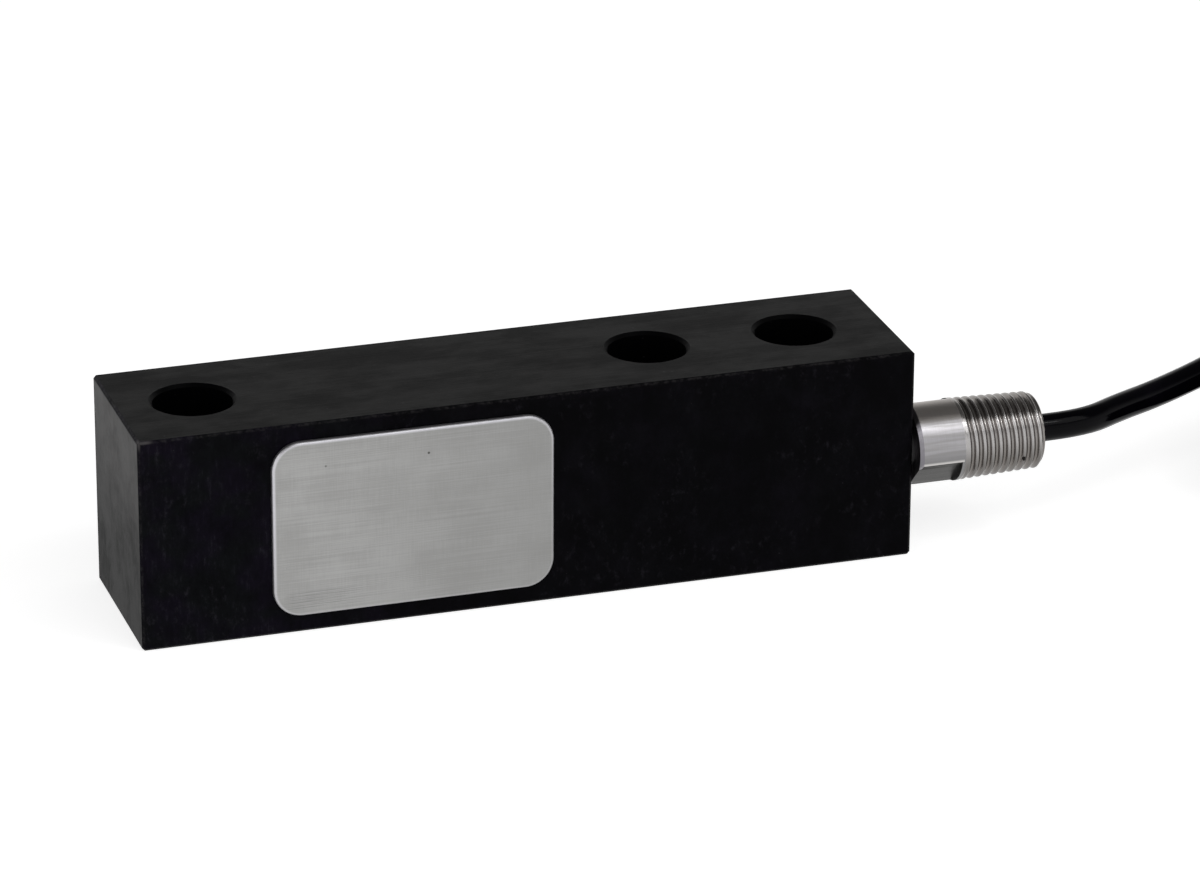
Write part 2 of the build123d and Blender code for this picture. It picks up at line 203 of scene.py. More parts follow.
def winding():
    """Control points of the hank's turns: along the rear run, round the far fold, back along the
    front run and round the near fold, clockwise seen from above, in 24 steps a turn. Points of a
    fold lie outside its circle by one over the cosine of half a step, and the first and last of a
    run lie as far from the fold as half a step's tangent, so that the curve touches the circle."""
    points = []
    for step in range(whole_turns * steps_per_turn):
        outward, layer = bundle_place(step)
        radius = inner_radius + outward * turn_pitch
        z = lowest_turn + layer * turn_pitch
        quarter, part = divmod(step % steps_per_turn, steps_per_run)
        if quarter in (0, 2):
            margin = radius * math.tan(half_step)
            along = margin + (hank_run - 2 * margin) * part / (steps_per_run - 1)
            x = hank_fold[0] + (along if quarter == 0 else hank_run - along)
            points.append((x, hank_fold[1] + (radius if quarter == 0 else -radius), z))
        else:
            x = hank_fold[0] + (hank_run if quarter == 1 else 0)
            start = math.pi / 2 if quarter == 1 else -math.pi / 2
            angle = start - half_step * (2 * part + 1)
            wide = radius / math.cos(half_step)
            points.append((x + wide * math.cos(angle), hank_fold[1] + wide * math.sin(angle), z))
    return points


def cord_curve(name, route, diameter, material):
    """A round cord along one quadratic NURBS spline with the route as its control points."""
    data = bpy.data.curves.new(name, "CURVE")
    data.dimensions = "3D"
    data.resolution_u = 6
    data.bevel_depth = diameter / 2000
    data.bevel_resolution = 5
    data.use_fill_caps = True
    spline = data.splines.new("NURBS")
    spline.points.add(len(route) - 1)
    for point, (x, y, z) in zip(spline.points, route):
        point.co = (x / 1000, y / 1000, z / 1000, 1.0)
    spline.order_u = 3
    spline.use_endpoint_u = True
    cord = bpy.data.objects.new(name, data)
    scene.collection.objects.link(cord)
    data.materials.append(material)
    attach(cord, "root")
    return cord


def curve_length(cord):
    """The length of a cord's line in metres, from a copy that has no thickness."""
    data = cord.data.copy()
    data.bevel_depth = 0
    bare = bpy.data.objects.new("bare_line", data)
    line = bpy.data.meshes.new_from_object(bare)
    points = np.array([vertex.co for vertex in line.vertices])
    bpy.data.objects.remove(bare)
    bpy.data.curves.remove(data)
    bpy.data.meshes.remove(line)
    return float(np.linalg.norm(np.diff(points, axis=0), axis=1).sum())


cable = cord_curve("cable", lead_route + winding() + tail_route, cable_diameter, jacket_finish)
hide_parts("cable_jacket", "cable_hank", "cable_tail")


# Flying leads: the four cores in their coloured insulation and the bare drain wire, spread out on the
# floor beyond the jacket's cut end. Each core is stripped and its strands are tinned.
def insulation(name, colour, shade):
    """Extruded core insulation: the colour, with cloudy patches of its darker shade, and a soft gloss."""
    material, tree, shader = finish(name, {"Specular IOR Level": 0.4})
    place = millimetres(tree)
    clouds = grain(tree, place, (2.5, 2.5, 2.5), detail=4.0)
    clouded_colour = mix(tree, span(tree, clouds, 0.35, 0.75), colour, shade)
    paint(tree, shader, clouded_colour, span(tree, clouds, 0.3, 0.8, 0.28, 0.42))
    relief(tree, shader, grain(tree, place, (0.8, 0.3, 0.3)), 0.01)
    return material


def clouded(name, constants, size, detail, colours, gloss, depth=0.0):
    """A material with cloudy patches of the size, over which its colour and its roughness go from the
    first to the second of their pair. The patches stand up by the depth in millimetres."""
    material, tree, shader = finish(name, constants)
    clouds = grain(tree, millimetres(tree), size, detail=detail)
    paint(tree, shader, mix(tree, clouds, *colours), span(tree, clouds, 0.3, 0.7, *gloss))
    if depth:
        relief(tree, shader, clouds, depth)
    return material


core_finishes = {
    "red": insulation("red_core_insulation", (0.50, 0.022, 0.020, 1), (0.36, 0.014, 0.014, 1)),
    "black": insulation("black_core_insulation", (0.012, 0.012, 0.013, 1), (0.022, 0.022, 0.023, 1)),
    "green": insulation("green_core_insulation", (0.022, 0.27, 0.065, 1), (0.014, 0.19, 0.045, 1)),
    "white": insulation("white_core_insulation", (0.74, 0.74, 0.71, 1), (0.64, 0.64, 0.60, 1)),
}
tinned_finish = clouded(
    "tinned_strands", {"Metallic": 1.0}, (1.2, 0.12, 0.12), 3.0,
    colours=((0.60, 0.585, 0.55, 1), (0.78, 0.77, 0.74, 1)), gloss=(0.22, 0.42), depth=0.03,
)

core_diameter, drain_diameter, tip_diameter = 1.0, 0.5, 0.7
core_offset = 0.5515
floor_gap = 0.05
lead_straight, lead_insulated, lead_bare_to = 5.5, 30.0, 36.0
lead_places = {"red": (-1, -1, -6.0), "black": (1, -1, 1.2), "green": (1, 1, 6.0), "white": (-1, 1, -1.2)}
drain_place = (0, 0, 0.3)
tail_end = Vector(tail_route[-1])
tail_along = (tail_end - Vector(tail_route[-2])).normalized()
tail_aside = Vector((0, 0, 1)).cross(tail_along)


def lead_line(side, rise, spread, diameter):
    """A flying lead's root on the jacket's end, the end of its straight part, and its far end. The
    root lies off the middle of the jacket by the side and the rise times the core's offset. The far
    end is moved aside by the spread, and lies just over the floor."""
    root = tail_end + tail_aside * side * core_offset + Vector((0, 0, rise * core_offset))
    far = root + tail_along * lead_bare_to + tail_aside * spread
    far.z = diameter / 2 + floor_gap
    return root, root + tail_along * lead_straight, far


tip_curves = []
stripped_share = (lead_insulated - lead_straight) / (lead_bare_to - lead_straight)
for colour, (side, rise, spread) in lead_places.items():
    root, straight, far = lead_line(side, rise, spread, tip_diameter)
    stripped = straight.lerp(far, stripped_share)
    lead = cord_curve(
        "flying_lead_" + colour, [root, straight, stripped], core_diameter, core_finishes[colour]
    )
    tip = cord_curve(
        "tinned_tip_" + colour, [stripped, stripped.lerp(far, 0.5), far], tip_diameter, tinned_finish
    )
    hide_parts("tail_core_" + colour)
    tip_curves.append(tip)
drain_line = cord_curve(
    "drain_wire_end", lead_line(*drain_place, drain_diameter), drain_diameter, tinned_finish
)
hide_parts("tail_drain")
for tip in tip_curves:
    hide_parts("tail_tips")


# Ties: two black nylon ties drawn tight round the hank's runs, with moulded heads and a fine ladder of
# teeth across the strap.
def dress(name, material):
    """Gives a solid of the CAD model a material on all its faces."""
    nodes[name].data.materials.clear()
    nodes[name].data.materials.append(material)


def split(tree, vector):
    """The X, Y and Z of a vector."""
    return add(tree, "SeparateXYZ", {0: vector}).outputs


def times(tree, first, *others):
    """The product of sockets and numbers."""
    for other in others:
        first = calc(tree, "MULTIPLY", first, other)
    return first


tooth_pitch = 1.1
strap_middle = hank_fold[0] + hank_run / 2
tie_finish, tree, shader = finish("black_nylon_tie", {"Specular IOR Level": 0.35})
place = millimetres(tree)
axes = split(tree, place)
clouds = grain(tree, place, (3, 3, 3), detail=4.0)
nylon_colour = mix(tree, clouds, (0.014, 0.014, 0.015, 1), (0.026, 0.026, 0.027, 1))
paint(tree, shader, nylon_colour, span(tree, clouds, 0.3, 0.7, 0.38, 0.52))
around_strap = calc(tree, "ADD", axes["Y"], axes["Z"])
teeth = calc(tree, "SINE", times(tree, around_strap, 2 * math.pi / tooth_pitch))
from_middle = calc(tree, "ABSOLUTE", calc(tree, "SUBTRACT", axes["X"], strap_middle))
relief(tree, shader, times(tree, teeth, span(tree, from_middle, 0.9, 1.3, 1.0, 0.0)), 0.06)
dress("hank_ties", tie_finish)

curve_length(cable)


# Conduit adapter: turned from one bar of stainless steel, with a spigot that screws into the beam, a
# collar with two milled wrench flats, and a taper pipe thread of 18 turns to the inch cut over the
# rest of it. It is bored through for the cable and counterbored for the sealing bush.
adapter_axis = (-10.85, 18.0)
adapter_start = 65.0
collar_from, collar_to = 0.5, 8.3
collar_radius, collar_chamfer = 6.85, 0.55
end_face_radius = 5.4
wrench_half, flats_to = 5.75, 7.8
flat_tilt = math.radians(45.5)
thread_pitch = 25.4 / 18
thread_depth = 0.54
thread_taper = 1 / 32
root_share, flank_share = 0.12, 0.78
run_out_pitches = 0.9
mouth_at, mouth_floor = 22.6, 16.0
mouth_radius, mouth_chamfer_radius = 3.6, 5.8
cable_bore_radius, cable_bore_floor = 2.45, 4.0
core_bore_radius = 1.75
spigot_radius, spigot_end = 2.95, -9.0
angle = np.linspace(0, 2 * np.pi, 240, endpoint=False)
rings_per_pitch = 20


def ring_surface(stations, radii):
    """A surface of rings about the adapter's axis: station s and radius r at the angle t become the
    point s along the axis, r cos t across it and r sin t above it. Both arrays have a row for each
    ring and a column for each angle, or one number a row for a plain ring."""
    radii = np.broadcast_to(radii, (len(radii), len(angle)))
    stations = np.broadcast_to(stations, radii.shape)
    x = adapter_start + stations
    y = adapter_axis[0] + radii * np.cos(angle)
    z = adapter_axis[1] + radii * np.sin(angle)
    points = np.stack([x, y, z], axis=2).reshape(-1, 3) / 1000
    corner = np.arange((len(radii) - 1) * len(angle))
    beside = corner - corner % len(angle) + (corner + 1) % len(angle)
    faces = np.stack([corner, beside, beside + len(angle), corner + len(angle)], axis=1)
    return points, faces


def turned(profile):
    """Plain rings from pairs of station and radius."""
    pairs = np.array(profile, float)
    return ring_surface(pairs[:, :1], pairs[:, 1:])


def flat_cut(radius):
    """The radius at each angle where the two wrench flats cut it: the half width between the flats
    over the cosine of the angle from a flat's normal, or the round radius where that is less."""
    return np.minimum(radius, wrench_half / np.maximum(np.abs(np.cos(angle - flat_tilt)), 0.2))


def collar():
    """The collar's end face, its chamfer, its outside with the flats, and the step where they end."""
    rings = [
        (collar_from, np.full(len(angle), end_face_radius)),
        (collar_from, flat_cut(collar_radius - collar_chamfer)),
        (collar_from + collar_chamfer, flat_cut(collar_radius)),
        (flats_to, flat_cut(collar_radius)),
        (flats_to, np.full(len(angle), collar_radius)),
        (collar_to, np.full(len(angle), collar_radius)),
    ]
    return ring_surface(np.array([[station] for station, _ in rings]), np.array([r for _, r in rings]))


def smooth(value):
    """Runs from 0 to 1 with a level start and end: three times the square less twice the cube."""
    value = np.clip(value, 0, 1)
    return value * value * (3 - 2 * value)


def thread():
    """The thread, on rings that follow the right-hand helix, so a ring gains one pitch over its turn.
    The radius is the cone's, less a groove that is 0 on the rounded crest at the start of a pitch and
    full in the rounded root at its middle, and that fades out at the collar. The mouth's chamfer cuts
    it at 45 degrees."""
    length = mouth_at - collar_to
    turns = math.ceil(length / thread_pitch) + 1
    ring = np.arange(-rings_per_pitch, turns * rings_per_pitch + 1)[:, None] / rings_per_pitch
    lead = (angle / (2 * np.pi))[None, :]
    along = np.clip((ring + lead) * thread_pitch, 0, length)
    crest = np.abs(((along / thread_pitch - lead) % 1.0) * 2 - 1)
    groove = thread_depth * (1 - smooth((crest - root_share) / flank_share))
    cone = collar_radius - along * thread_taper
    cut = cone - groove * smooth(along / (run_out_pitches * thread_pitch))
    radii = np.minimum(cut, mouth_chamfer_radius + length - along)
    points, faces = ring_surface(collar_to + along, radii)
    seam = faces[:, 0] % len(angle) == len(angle) - 1
    faces[seam, 1:3] += rings_per_pitch * len(angle)
    return points, faces[(faces < len(points)).all(axis=1)]


def joined(name, surfaces, material, split_angle):
    """One object from several surfaces of points and faces, with doubles merged, flat faces removed,
    and its shading split where it turns by more than the angle in degrees."""
    offsets = np.cumsum([0] + [len(points) for points, _ in surfaces])
    mesh = bpy.data.meshes.new(name)
    mesh.from_pydata(
        np.concatenate([points for points, _ in surfaces]).tolist(), [],
        np.concatenate([faces + offset for (_, faces), offset in zip(surfaces, offsets)]).tolist(),
    )
    work = bmesh.new()
    work.from_mesh(mesh)
    bmesh.ops.remove_doubles(work, verts=work.verts, dist=2e-7)
    bmesh.ops.dissolve_degenerate(work, edges=work.edges, dist=2e-7)
    bmesh.ops.recalc_face_normals(work, faces=work.faces)
    work.to_mesh(mesh)
    work.free()
    mesh.shade_smooth()
    mesh.set_sharp_from_angle(angle=math.radians(split_angle))
    piece = bpy.data.objects.new(name, mesh)
    scene.collection.objects.link(piece)
    mesh.materials.append(material)
    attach(piece, "root")
    return piece


def apart(tree, place, point):
    """The distance from a place to a point."""
    return add(tree, "VectorMath", {0: place, 1: point}, operation="DISTANCE").outputs["Value"]


pit_place = (83.8, -17.0, 15.5)
adapter_finish, tree, shader = finish("turned_stainless_steel", {"Metallic": 1.0})
place = millimetres(tree)
axes = split(tree, place)
across = calc(tree, "SUBTRACT", axes["Y"], adapter_axis[0])
above = calc(tree, "SUBTRACT", axes["Z"], adapter_axis[1])
on_axis = add(tree, "CombineXYZ", {0: axes["X"], 1: adapter_axis[0], 2: adapter_axis[1]}).outputs[0]
out = apart(tree, place, on_axis)
upward = calc(tree, "DIVIDE", above, out)
beyond = calc(tree, "SUBTRACT", axes["X"], adapter_start + collar_to)
on_thread = span(tree, beyond, -0.05, 0.05)
crest_radius = calc(tree, "MULTIPLY_ADD", beyond, -thread_taper, collar_radius)
sunk = calc(tree, "SUBTRACT", crest_radius, out)
groove_shade = times(tree, on_thread, span(tree, sunk, 0.03, 0.34))

# Turned faces: patches, a painted warm reflection on top and painted shade below, with fine tool lines round
# the axis.
patches = grain(tree, place, (12.0, 0.45, 0.45), detail=3.0, rough=0.5)
tooled = add(tree, "CombineXYZ", {0: axes["X"], 1: times(tree, out, 0.2)}).outputs[0]
tool_lines = grain(tree, tooled, (0.09, 0.09, 1), detail=3.0, rough=0.7)
turned_colour = mix(tree, span(tree, patches, 0.36, 0.66), (0.44, 0.43, 0.45, 1), (0.350, 0.342, 0.345, 1))
turned_colour = mix(tree, span(tree, upward, 0.72, 0.86, 0.0, 0.8), turned_colour, (0.40, 0.365, 0.335, 1))
# Painted shade on the underside of the collar.
turned_colour = mix(
    tree, span(tree, upward, -0.20, 0.44, 0.90, 0.0), turned_colour, (0.180, 0.178, 0.180, 1)
)
# The thread: painted shade that darkens it towards its underside, and a painted warm reflection on its top.
thread_colour = mix(
    tree, span(tree, upward, -0.50, 0.50), (0.135, 0.126, 0.117, 1), (0.500, 0.485, 0.480, 1)
)
thread_colour = mix(
    tree, span(tree, upward, 0.68, 0.82, 0.0, 0.8), thread_colour, (0.250, 0.236, 0.222, 1)
)
steel = mix(tree, times(tree, on_thread, 0.9), turned_colour, thread_colour)
steel = mix(tree, span(tree, tool_lines, 0.35, 0.75, 0.0, 0.35), steel, (0.27, 0.26, 0.255, 1))

# Collar: a painted highlight along each edge of the flats, and painted shade on the chamfer and on the milled
# flats.
from_flats = calc(tree, "ABSOLUTE", calc(
    tree, "ADD", times(tree, across, math.cos(flat_tilt)), times(tree, above, math.sin(flat_tilt))
))
# Painted highlight along each edge of the flats.
edge_highlight = times(
    tree, span(tree, from_flats, wrench_half - 0.40, wrench_half - 0.14),
    span(tree, from_flats, wrench_half - 0.08, wrench_half - 0.03, 1.0, 0.0),
    span(tree, beyond, -0.25, -0.1, 0.7, 0.0),
)
steel = mix(tree, edge_highlight, steel, (0.68, 0.66, 0.64, 1))
# Painted shade on the chamfer.
chamfer_end = collar_from + collar_chamfer - collar_to
chamfer_shade = span(tree, beyond, chamfer_end - 0.02, chamfer_end + 0.04, 0.75, 0.0)
steel = mix(tree, chamfer_shade, steel, (0.20, 0.19, 0.215, 1))
# Painted shade on the milled flats.
flats_end = flats_to - collar_to
flat_shade = times(
    tree, span(tree, from_flats, wrench_half - 0.06, wrench_half - 0.02),
    span(tree, beyond, flats_end + 0.02, flats_end + 0.06, 0.95, 0.0),
)
steel = mix(tree, flat_shade, steel, (0.012, 0.011, 0.009, 1))

# Painted shade in the thread's roots, and one small pit in it.
steel = mix(tree, times(tree, groove_shade, 0.62), steel, (0.175, 0.158, 0.145, 1))
pit = span(tree, apart(tree, place, pit_place), 0.42, 0.62, 1.0, 0.0)
steel = mix(tree, pit, steel, (0.010, 0.009, 0.008, 1))
rough = calc(tree, "ADD", span(tree, patches, 0.3, 0.8, 0.30, 0.38), times(tree, on_thread, -0.13))
paint(tree, shader, steel, rough)
relief(tree, shader, calc(tree, "MULTIPLY_ADD", pit, -8.0, tool_lines), 0.014)

adapter = joined(
    "threaded_adapter",
    [
        collar(),
        thread(),
        turned([
            (mouth_at, mouth_chamfer_radius), (mouth_at, mouth_radius), (mouth_floor, mouth_radius),
            (mouth_floor, cable_bore_radius), (cable_bore_floor, cable_bore_radius),
            (cable_bore_floor, core_bore_radius), (spigot_end, core_bore_radius),
            (spigot_end, spigot_radius), (collar_from, spigot_radius), (collar_from, end_face_radius),
        ]),
    ],
    adapter_finish, split_angle=32,
)
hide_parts("conduit_adapter")


# Gasket and bush: two turned rings of black nitrile rubber. One seals the collar against the beam's
# end face, and the other is pressed into the adapter's mouth round the cable.
rubber_finish, tree, shader = finish("black_nitrile_rubber", {"Specular IOR Level": 0.5})
place = millimetres(tree)
bloom = grain(tree, place, (1.5, 1.5, 1.5), detail=6.0, rough=0.65)
rubber_colour = mix(tree, span(tree, bloom, 0.4, 0.8), (0.006, 0.006, 0.006, 1), (0.020, 0.019, 0.018, 1))
paint(tree, shader, rubber_colour, span(tree, bloom, 0.3, 0.8, 0.34, 0.48))
relief(tree, shader, grain(tree, place, (0.15, 0.15, 0.15), detail=3.0), 0.02)
dress("entry_gasket", rubber_finish)
dress("cable_bush", rubber_finish)


# Beam: one bar of alloy steel, milled on all faces, with three bored holes and broken edges, then
# blackened in a hot bath. The coating is thin, so it is worn to the metal on the sharpest places.
def effect(name, inputs, outputs):
    """A shader node group with these named inputs, whose kinds follow from their values, and these
    outputs. Gives back the group, its inputs as they are read inside it, and its ends."""
    group = bpy.data.node_groups.new(name, "ShaderNodeTree")
    for socket, value in inputs.items():
        kind = "NodeSocketVector" if isinstance(value, tuple) else "NodeSocketFloat"
        group.interface.new_socket(socket, in_out="INPUT", socket_type=kind).default_value = value
    for socket in outputs:
        group.interface.new_socket(socket, in_out="OUTPUT", socket_type="NodeSocketFloat")
    start = group.nodes.new("NodeGroupInput")
    end = group.nodes.new("NodeGroupOutput")
    return group, start.outputs, end.inputs


def use(tree, group, inputs):
    """Places a group in a tree and gives back its outputs."""
    return add(tree, "Group", inputs, node_tree=group).outputs


def fade(tree, value, low, high):
    """Runs in a straight line from 1 to 0 while the value goes from low to high, and stays there."""
    inputs = {"Value": value, "From Min": low, "From Max": high, "To Min": 1.0, "To Max": 0.0}
    return add(tree, "MapRange", inputs).outputs[0]


# Specks: a round mark in a share of scattered cells, each mark of a size of its own.
specks, start, end = effect(
    "specks", {"Place": (0, 0, 0), "Spacing": 3.0, "Radius": 0.1, "Share": 0.3}, ["Mask"]
)
cell_scale = calc(specks, "DIVIDE", 1.0, start["Spacing"])
cells = add(specks, "TexVoronoi", {"Vector": start["Place"], "Scale": cell_scale}).outputs
chance = add(specks, "SeparateColor", {0: cells["Color"]}).outputs
reach = calc(specks, "DIVIDE", start["Radius"], start["Spacing"])
sized = times(specks, reach, calc(specks, "ADD", chance[1], 0.3))
inside = fade(specks, cells["Distance"], times(specks, sized, 0.4), sized)
chosen = calc(specks, "LESS_THAN", chance[0], start["Share"])
specks.links.new(times(specks, inside, chosen), end["Mask"])

# Edge wear: a band along the edges that is broken into patches.
edge_wear, start, end = effect(
    "edge_wear", {"Place": (0, 0, 0), "Distance": 1.0, "Width": 0.5, "Patch": 3.0}, ["Mask"]
)
near = fade(edge_wear, start["Distance"], 0.0, start["Width"])
patchy = grain(edge_wear, start["Place"], start["Patch"], detail=6.0, rough=0.75)
edge_wear.links.new(times(edge_wear, near, span(edge_wear, patchy, 0.42, 0.66)), end["Mask"])

# Brushing: fine streaks along X.
brushing, start, end = effect("brushing", {"Place": (0, 0, 0), "Length": 30.0, "Fineness": 0.3}, ["Streaks"])
stroke = {0: start["Length"], 1: start["Fineness"], 2: start["Fineness"]}
stroke_size = add(brushing, "CombineXYZ", stroke).outputs[0]
brushing.links.new(grain(brushing, start["Place"], stroke_size, detail=5.0, rough=0.7), end["Streaks"])

beam_half_length, beam_half_width, beam_half_height = 65.0, 15.0, 18.0
beam_top = 2 * beam_half_height
beam_front = -beam_half_width
bore_places = (-52.3, 23.9, 49.3)
smudge_stretch, smudge_centre = (1.0, 0.45, 1.0), (-17.5, 2.5, 36.0)
pale_corner_place = (-64.2, -15.0, 36.0)
beam_finish, tree, shader = finish("blackened_steel", {"Specular IOR Level": 0.026, "IOR": 1.5})
place = millimetres(tree)
axes = split(tree, place)
to_end = calc(tree, "SUBTRACT", beam_half_length, calc(tree, "ABSOLUTE", axes["X"]))
to_side = calc(tree, "SUBTRACT", beam_half_width, calc(tree, "ABSOLUTE", axes["Y"]))
from_middle = calc(tree, "ABSOLUTE", calc(tree, "SUBTRACT", axes["Z"], beam_half_height))
to_level = calc(tree, "SUBTRACT", beam_half_height, from_middle)
lesser = calc(tree, "MINIMUM", to_end, to_side)
greater = calc(tree, "MAXIMUM", to_end, to_side)
to_edge = calc(tree, "MAXIMUM", lesser, calc(tree, "MINIMUM", greater, to_level))
facing = split(tree, add(tree, "TexCoord", {}).outputs["Normal"])
level_face = span(tree, calc(tree, "ABSOLUTE", facing["Z"]), 0.75, 0.9)
end_face = span(tree, calc(tree, "ABSOLUTE", facing["X"]), 0.75, 0.9)

# Sides: mottled, with faint runs, and paler etched clouds and drips that are strongest on the left.
mottle = grain(tree, place, (7, 7, 9), detail=9.0, rough=0.72)
runs_down = grain(tree, place, (0.75, 0.75, 3.2), detail=6.0, rough=0.78)
etched = grain(tree, place, (1.5, 1.5, 2.2), detail=7.0, rough=0.78)
to_left = span(tree, axes["X"], -38.0, -10.0, 1.0, 0.25)
side_tone = calc(tree, "MULTIPLY_ADD", times(tree, runs_down, to_left), 0.45, mottle)
mottled = span(tree, side_tone, 0.42, 0.92)
tint = span(tree, grain(tree, place, (8, 8, 6), detail=3.0), 0.38, 0.62)
side_light = mix(tree, tint, (0.0062, 0.0046, 0.0098, 1), (0.0046, 0.0052, 0.0062, 1))
side_light = mix(tree, calc(tree, "SUBTRACT", 1.0, to_left), side_light, (0.0040, 0.0036, 0.0052, 1))
side_colour = mix(tree, mottled, (0.0007, 0.0006, 0.0010, 1), side_light)
cloudy = span(tree, grain(tree, place, (14, 14, 11), detail=2.0), 0.42, 0.60)
etching = times(
    tree, span(tree, etched, 0.52, 0.70), cloudy, span(tree, to_left, 0.25, 1.0, 0.42, 0.65)
)
side_colour = mix(tree, etching, side_colour, (0.0270, 0.0250, 0.0320, 1))
drips = times(
    tree, span(tree, runs_down, 0.50, 0.74), span(tree, mottle, 0.48, 0.60),
    span(tree, axes["X"], -46.0, -36.0, 0.6, 0.0),
)
side_colour = mix(tree, drips, side_colour, (0.0380, 0.0360, 0.0470, 1))

# Top and base: milled lengthwise and smeared, with one dark smudge on the top.
milled = use(tree, brushing, {"Place": place, "Length": 26.0, "Fineness": 0.35})["Streaks"]
smears = grain(tree, place, (13, 6, 5), detail=6.0, rough=0.7)
level_tone = span(tree, calc(tree, "MULTIPLY_ADD", milled, 0.3, smears), 0.45, 0.85)
level_colour = mix(tree, level_tone, (0.0006, 0.0006, 0.0007, 1), (0.0048, 0.0047, 0.0045, 1))
stretched = add(tree, "VectorMath", {0: place, 1: smudge_stretch}, operation="MULTIPLY").outputs[0]
smudge_edge = calc(tree, "MULTIPLY_ADD", smears, 1.6, apart(tree, stretched, smudge_centre))
smudge = span(tree, smudge_edge, 1.1, 2.4, 0.8, 0.0)
level_colour = mix(tree, smudge, level_colour, (0.0004, 0.0004, 0.0005, 1))

# Ends: greyer towards the top as painted light, with etched spots, and darker along the front and the top
# edge.
end_tone = grain(tree, place, (5, 5, 3), detail=5.0, rough=0.6)
end_height = calc(tree, "MULTIPLY_ADD", axes["Z"], 1 / beam_top, times(tree, end_tone, 0.5))
end_colour = mix(
    tree, span(tree, end_height, 0.52, 1.32), (0.0095, 0.0094, 0.0094, 1), (0.072, 0.070, 0.070, 1)
)
end_colour = mix(tree, span(tree, etched, 0.48, 0.74, 0.0, 0.4), end_colour, (0.0040, 0.0040, 0.0040, 1))
front_border = span(tree, axes["Y"], beam_front + 0.5, beam_front + 1.2, 0.75, 0.0)
top_border = span(tree, axes["Z"], beam_top - 0.9, beam_top - 0.4, 0.0, 0.75)
end_border = calc(tree, "MAXIMUM", front_border, top_border)
end_colour = mix(tree, end_border, end_colour, (0.0040, 0.0040, 0.0045, 1))
coating = mix(tree, end_face, mix(tree, level_face, side_colour, level_colour), end_colour)

# Bores: painted shade, black inside.
from_bores = None
for bore_x in bore_places:
    bore_axis = add(tree, "CombineXYZ", {0: bore_x, 1: 0.0, 2: axes["Z"]}).outputs[0]
    away = apart(tree, place, bore_axis)
    from_bores = away if from_bores is None else calc(tree, "MINIMUM", from_bores, away)
bore_shade = span(tree, from_bores, 6.98, 7.10, 1.0, 0.0)
coating = mix(tree, bore_shade, coating, (0.0006, 0.0006, 0.0008, 1))

# Wear: pale specks and edges worn in patches. Also a paler spot on the edge at the near left corner of the
# top.
pale_specks = use(tree, specks, {"Place": place, "Spacing": 1.1, "Radius": 0.16, "Share": 0.30})["Mask"]
speck_cover = times(tree, pale_specks, span(tree, mottle, 0.46, 0.60, 0.0, 0.8))
coating = mix(tree, speck_cover, coating, (0.040, 0.038, 0.042, 1))
worn = use(tree, edge_wear, {"Place": place, "Distance": to_edge, "Width": 0.50, "Patch": 0.8})["Mask"]
near_corner = span(tree, apart(tree, place, pale_corner_place), 0.6, 2.2, 1.0, 0.0)
pale_corner = times(tree, near_corner, span(tree, to_edge, 0.25, 0.55, 1.0, 0.0))
worn = calc(tree, "MAXIMUM", times(tree, worn, 0.55), pale_corner)
coating = mix(tree, worn, coating, (0.070, 0.066, 0.068, 1))

side_rough = span(tree, mottled, 0.0, 1.0, 0.52, 0.40)
level_rough = span(tree, level_tone, 0.0, 1.0, 0.44, 0.34)
rough = add(tree, "Mix", {0: level_face, 2: side_rough, 3: level_rough}, data_type="FLOAT").outputs[0]
paint(tree, shader, coating, rough)
pebbled = grain(tree, place, (0.35, 0.35, 0.35), detail=3.0)
relief(tree, shader, calc(tree, "ADD", times(tree, milled, level_face), times(tree, pebbled, 0.5)), 0.02)
dress("beam_body", beam_finish)


# Cover plate: stainless sheet with rounded corners and edges, brushed lengthwise and bonded over the
# gauge pocket with a dark film of adhesive.
plate_centre = (-20.2, 18.2)
plate_half = (23.4, 15.0)
plate_corner = 4.8
rim_width = 0.55
large_dot, small_dot = (-17.8, -16.0, 28.9), (-34.8, -16.0, 28.7)
cover_finish, tree, shader = finish("brushed_stainless_plate", {"Metallic": 1.0})
place = millimetres(tree)
axes = split(tree, place)
from_x = calc(tree, "ABSOLUTE", calc(tree, "SUBTRACT", axes["X"], plate_centre[0]))
from_z = calc(tree, "ABSOLUTE", calc(tree, "SUBTRACT", axes["Z"], plate_centre[1]))
corner_x = calc(tree, "MAXIMUM", calc(tree, "SUBTRACT", from_x, plate_half[0] - plate_corner), 0.0)
corner_z = calc(tree, "MAXIMUM", calc(tree, "SUBTRACT", from_z, plate_half[1] - plate_corner), 0.0)
corner_out = calc(tree, "SQRT", calc(
    tree, "MULTIPLY_ADD", corner_x, corner_x, times(tree, corner_z, corner_z)
))
to_corner = calc(tree, "SUBTRACT", plate_corner, corner_out)
to_straight = calc(
    tree, "MINIMUM", calc(tree, "SUBTRACT", plate_half[0], from_x),
    calc(tree, "SUBTRACT", plate_half[1], from_z),
)
to_rim = calc(tree, "MINIMUM", to_corner, to_straight)

# Sheet: brushed streaks, a faint grain across them and clouds, and darker towards the right.
brushed = use(tree, brushing, {"Place": place, "Length": 22.0, "Fineness": 0.16})["Streaks"]
crossed = grain(tree, place, (0.22, 1, 5.0), detail=4.0, rough=0.65)
clouds = grain(tree, place, (9, 9, 6), detail=4.0, rough=0.55)
tone = calc(tree, "MULTIPLY_ADD", crossed, 0.35, calc(tree, "MULTIPLY_ADD", clouds, 0.55, brushed))
to_right = span(tree, axes["X"], -44, 4)
sheet = mix(tree, to_right, (0.386, 0.385, 0.380, 1), (0.308, 0.308, 0.304, 1))
sheet = mix(tree, span(tree, tone, 0.72, 1.15, 0.0, 0.42), sheet, (0.235, 0.233, 0.225, 1))
